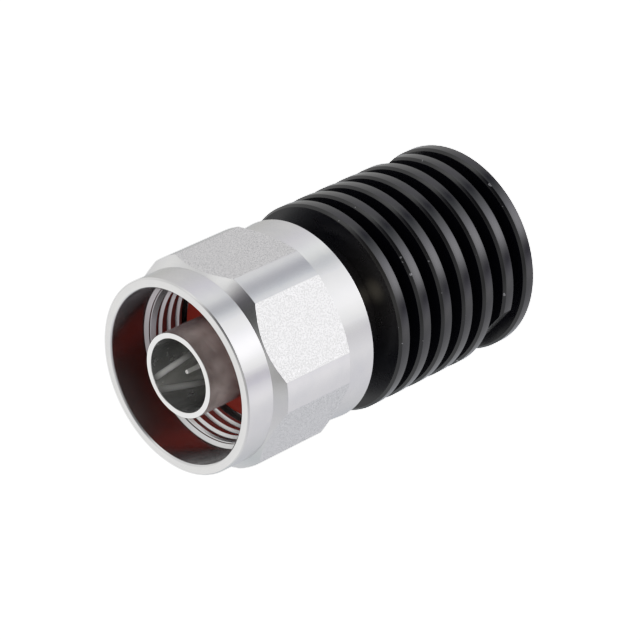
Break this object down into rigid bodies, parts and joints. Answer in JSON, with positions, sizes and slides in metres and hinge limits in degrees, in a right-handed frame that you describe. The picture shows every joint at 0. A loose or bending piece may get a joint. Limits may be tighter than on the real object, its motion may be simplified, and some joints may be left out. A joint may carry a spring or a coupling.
{
  "type": "rf dummy load",
  "caption": "Coaxial rf dummy load: a threaded plug with a free-turning hexagon coupling nut on a black finned heat sink that holds the terminating resistor.",
  "frame": {"origin": "centre of the heat sink's flat back face, on which the part stands", "axes": "+Z along the coaxial axis, towards the plug's mouth; +Y square to one spanner flat of the rearmost fin"},
  "size_m": [0.0202, 0.02, 0.0364],
  "materials": {
    "anodised_aluminium": "black anodised, satin",
    "nickel_plate": "nickel plated, satin",
    "contact_plate": "white-bronze or silver plated, bright",
    "spring_bronze": "bare spring bronze",
    "turned_brass": "turned, bare",
    "cap_steel": "plain",
    "red_silicone": "moulded, slightly glossy",
    "black_rubber": "moulded, matt",
    "ptfe": "white, turned",
    "resistor_ceramic": "ceramic rod with a resistive film"
  },
  "bodies": {
    "load_body": {"heat_sink": "anodised_aluminium", "plug_body": "nickel_plate", "outer_contact": "contact_plate", "centre_pin": "contact_plate", "contact_bullet": "spring_bronze", "nut_retaining_ring": "spring_bronze", "ground_finger_ring": "spring_bronze", "face_gasket": "red_silicone", "body_seal": "black_rubber", "front_insulator": "ptfe", "resistor_support_bead": "ptfe", "resistor_rod": "resistor_ceramic", "resistor_front_cap": "cap_steel", "resistor_rear_cap": "cap_steel", "wave_washer": "cap_steel", "taper_sleeve": "turned_brass"},
    "coupling_nut": {"coupling_nut": "nickel_plate"}
  },
  "joints": [
    {"name": "nut_spin", "type": "hinge", "parent": "load_body", "child": "coupling_nut", "pos_m": [0, 0, 0.0287], "axis": [0, 0, 1], "continuous": true}
  ]
}
